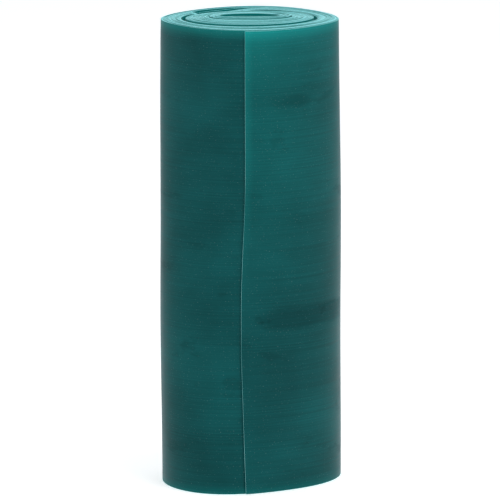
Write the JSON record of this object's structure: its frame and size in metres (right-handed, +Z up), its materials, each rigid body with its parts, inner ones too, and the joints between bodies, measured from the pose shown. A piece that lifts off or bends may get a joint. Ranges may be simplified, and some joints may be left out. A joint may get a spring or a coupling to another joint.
{
  "type": "resistance band",
  "caption": "Flat latex exercise band, rolled up and standing on its end; its free end peels off and its inner coils slide out.",
  "frame": {"origin": "middle of the roll, on the surface that it stands on", "axes": "+Z up along the width of the band; +X along the oval roll's long way; -Y towards the side that the free end is on"},
  "size_m": [0.056, 0.0433, 0.15],
  "materials": {
    "latex": "satin, slightly translucent dark green natural latex with a light dusting of powder"
  },
  "bodies": {
    "outer_coil": {"outer_coil": "latex"},
    "inner_coil": {"inner_coil": "latex"},
    "core_coil": {"core_coil": "latex"},
    "outer_turn_01": {"outer_turn_01": "latex"},
    "outer_turn_02": {"outer_turn_02": "latex"},
    "outer_turn_03": {"outer_turn_03": "latex"},
    "outer_turn_04": {"outer_turn_04": "latex"},
    "outer_turn_05": {"outer_turn_05": "latex"},
    "outer_turn_06": {"outer_turn_06": "latex"},
    "free_end": {"free_end": "latex"}
  },
  "joints": [
    {"name": "inner_slide", "type": "slide", "parent": "outer_coil", "child": "inner_coil", "axis": [0, 0, 1], "range_m": [0, 0.04]},
    {"name": "core_slide", "type": "slide", "parent": "inner_coil", "child": "core_coil", "axis": [0, 0, 1], "range_m": [0, 0.03]},
    {"name": "peel_01", "type": "hinge", "parent": "outer_coil", "child": "outer_turn_01", "pos_m": [0.00564, 0.02126, 0.075], "axis": [0, 0, 1], "range_deg": [0, 10.1]},
    {"name": "peel_02", "type": "hinge", "parent": "outer_turn_01", "child": "outer_turn_02", "pos_m": [0.01649, 0.01814, 0.075], "axis": [0, 0, 1], "range_deg": [0, 25.1]},
    {"name": "peel_03", "type": "hinge", "parent": "outer_turn_02", "child": "outer_turn_03", "pos_m": [0.02488, 0.01069, 0.075], "axis": [0, 0, 1], "range_deg": [0, 31.5]},
    {"name": "peel_04", "type": "hinge", "parent": "outer_turn_03", "child": "outer_turn_04", "pos_m": [0.02807, -0.00005, 0.075], "axis": [0, 0, 1], "range_deg": [0, 32.9]},
    {"name": "peel_05", "type": "hinge", "parent": "outer_turn_04", "child": "outer_turn_05", "pos_m": [0.02489, -0.01078, 0.075], "axis": [0, 0, 1], "range_deg": [0, 31.4]},
    {"name": "peel_06", "type": "hinge", "parent": "outer_turn_05", "child": "outer_turn_06", "pos_m": [0.01651, -0.01825, 0.075], "axis": [0, 0, 1], "range_deg": [0, 25]},
    {"name": "peel_07", "type": "hinge", "parent": "outer_turn_06", "child": "free_end", "pos_m": [0.00566, -0.0214, 0.075], "axis": [0, 0, 1], "range_deg": [0, 17.11]}
  ],
  "couplings": [
    {"joint": "peel_02", "follows": "peel_01", "ratio": 2.4851},
    {"joint": "peel_03", "follows": "peel_01", "ratio": 3.1188},
    {"joint": "peel_04", "follows": "peel_01", "ratio": 3.2574},
    {"joint": "peel_05", "follows": "peel_01", "ratio": 3.1089},
    {"joint": "peel_06", "follows": "peel_01", "ratio": 2.4752},
    {"joint": "peel_07", "follows": "peel_01", "ratio": 1.6931}
  ]
}
